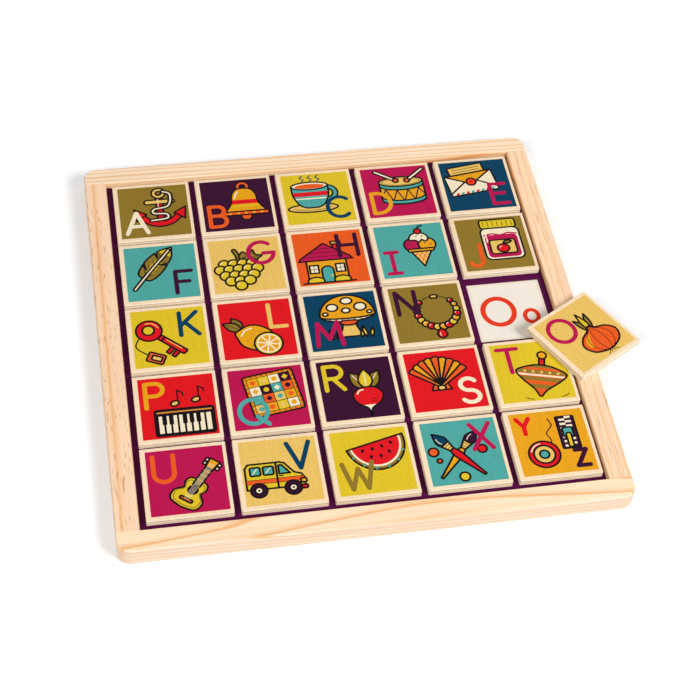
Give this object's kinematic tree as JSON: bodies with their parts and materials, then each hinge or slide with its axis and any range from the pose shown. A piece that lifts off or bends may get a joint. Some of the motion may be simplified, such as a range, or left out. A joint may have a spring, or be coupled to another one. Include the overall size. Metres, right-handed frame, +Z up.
{
  "type": "alphabet puzzle",
  "caption": "Square wooden tray puzzle: a low pine frame with a printed floor of marked places, and loose square plywood letter tiles, one of them lying on the rim.",
  "frame": {"origin": "middle of the tray, on the surface that it stands on", "axes": "+Z up out of the tray, +X to the reader's right, the reader on the -Y side"},
  "size_m": [0.3314, 0.3006, 0.0175],
  "materials": {
    "pine": "sanded, clear matt seal",
    "plywood": "sanded, printed face",
    "board": "plain",
    "printed_face": "satin print",
    "dowel": "plain"
  },
  "bodies": {
    "tray": {"front_rail": "pine", "back_rail": "pine", "left_rail": "pine", "right_rail": "pine", "base_board": "board", "printed_sheet": "printed_face", "corner_dowels": "dowel"},
    "tile_A": {"tile_A": "plywood"},
    "tile_B": {"tile_B": "plywood"},
    "tile_C": {"tile_C": "plywood"},
    "tile_D": {"tile_D": "plywood"},
    "tile_E": {"tile_E": "plywood"},
    "tile_F": {"tile_F": "plywood"},
    "tile_G": {"tile_G": "plywood"},
    "tile_H": {"tile_H": "plywood"},
    "tile_I": {"tile_I": "plywood"},
    "tile_J": {"tile_J": "plywood"},
    "tile_K": {"tile_K": "plywood"},
    "tile_L": {"tile_L": "plywood"},
    "tile_M": {"tile_M": "plywood"},
    "tile_N": {"tile_N": "plywood"},
    "tile_O": {"tile_O": "plywood"},
    "tile_P": {"tile_P": "plywood"},
    "tile_Q": {"tile_Q": "plywood"},
    "tile_R": {"tile_R": "plywood"},
    "tile_S": {"tile_S": "plywood"},
    "tile_T": {"tile_T": "plywood"},
    "tile_U": {"tile_U": "plywood"},
    "tile_V": {"tile_V": "plywood"},
    "tile_W": {"tile_W": "plywood"},
    "tile_X": {"tile_X": "plywood"},
    "tile_YZ": {"tile_YZ": "plywood"}
  },
  "joints": [
    {"name": "lift_A", "type": "slide", "parent": "tray", "child": "tile_A", "axis": [0, 0, 1], "range_m": [0, 0.03]},
    {"name": "lift_B", "type": "slide", "parent": "tray", "child": "tile_B", "axis": [0, 0, 1], "range_m": [0, 0.03]},
    {"name": "lift_C", "type": "slide", "parent": "tray", "child": "tile_C", "axis": [0, 0, 1], "range_m": [0, 0.03]},
    {"name": "lift_D", "type": "slide", "parent": "tray", "child": "tile_D", "axis": [0, 0, 1], "range_m": [0, 0.03]},
    {"name": "lift_E", "type": "slide", "parent": "tray", "child": "tile_E", "axis": [0, 0, 1], "range_m": [0, 0.03]},
    {"name": "lift_F", "type": "slide", "parent": "tray", "child": "tile_F", "axis": [0, 0, 1], "range_m": [0, 0.03]},
    {"name": "lift_G", "type": "slide", "parent": "tray", "child": "tile_G", "axis": [0, 0, 1], "range_m": [0, 0.03]},
    {"name": "lift_H", "type": "slide", "parent": "tray", "child": "tile_H", "axis": [0, 0, 1], "range_m": [0, 0.03]},
    {"name": "lift_I", "type": "slide", "parent": "tray", "child": "tile_I", "axis": [0, 0, 1], "range_m": [0, 0.03]},
    {"name": "lift_J", "type": "slide", "parent": "tray", "child": "tile_J", "axis": [0, 0, 1], "range_m": [0, 0.03]},
    {"name": "lift_K", "type": "slide", "parent": "tray", "child": "tile_K", "axis": [0, 0, 1], "range_m": [0, 0.03]},
    {"name": "lift_L", "type": "slide", "parent": "tray", "child": "tile_L", "axis": [0, 0, 1], "range_m": [0, 0.03]},
    {"name": "lift_M", "type": "slide", "parent": "tray", "child": "tile_M", "axis": [0, 0, 1], "range_m": [0, 0.03]},
    {"name": "lift_N", "type": "slide", "parent": "tray", "child": "tile_N", "axis": [0, 0, 1], "range_m": [0, 0.03]},
    {"name": "lift_P", "type": "slide", "parent": "tray", "child": "tile_P", "axis": [0, 0, 1], "range_m": [0, 0.03]},
    {"name": "lift_Q", "type": "slide", "parent": "tray", "child": "tile_Q", "axis": [0, 0, 1], "range_m": [0, 0.03]},
    {"name": "lift_R", "type": "slide", "parent": "tray", "child": "tile_R", "axis": [0, 0, 1], "range_m": [0, 0.03]},
    {"name": "lift_S", "type": "slide", "parent": "tray", "child": "tile_S", "axis": [0, 0, 1], "range_m": [0, 0.03]},
    {"name": "lift_T", "type": "slide", "parent": "tray", "child": "tile_T", "axis": [0, 0, 1], "range_m": [0, 0.03]},
    {"name": "lift_U", "type": "slide", "parent": "tray", "child": "tile_U", "axis": [0, 0, 1], "range_m": [0, 0.03]},
    {"name": "lift_V", "type": "slide", "parent": "tray", "child": "tile_V", "axis": [0, 0, 1], "range_m": [0, 0.03]},
    {"name": "lift_W", "type": "slide", "parent": "tray", "child": "tile_W", "axis": [0, 0, 1], "range_m": [0, 0.03]},
    {"name": "lift_X", "type": "slide", "parent": "tray", "child": "tile_X", "axis": [0, 0, 1], "range_m": [0, 0.03]},
    {"name": "lift_YZ", "type": "slide", "parent": "tray", "child": "tile_YZ", "axis": [0, 0, 1], "range_m": [0, 0.03]},
    {"name": "lift_O", "type": "slide", "parent": "tile_T", "child": "tile_O", "axis": [0, 0, 1], "range_m": [0, 0.03]}
  ]
}
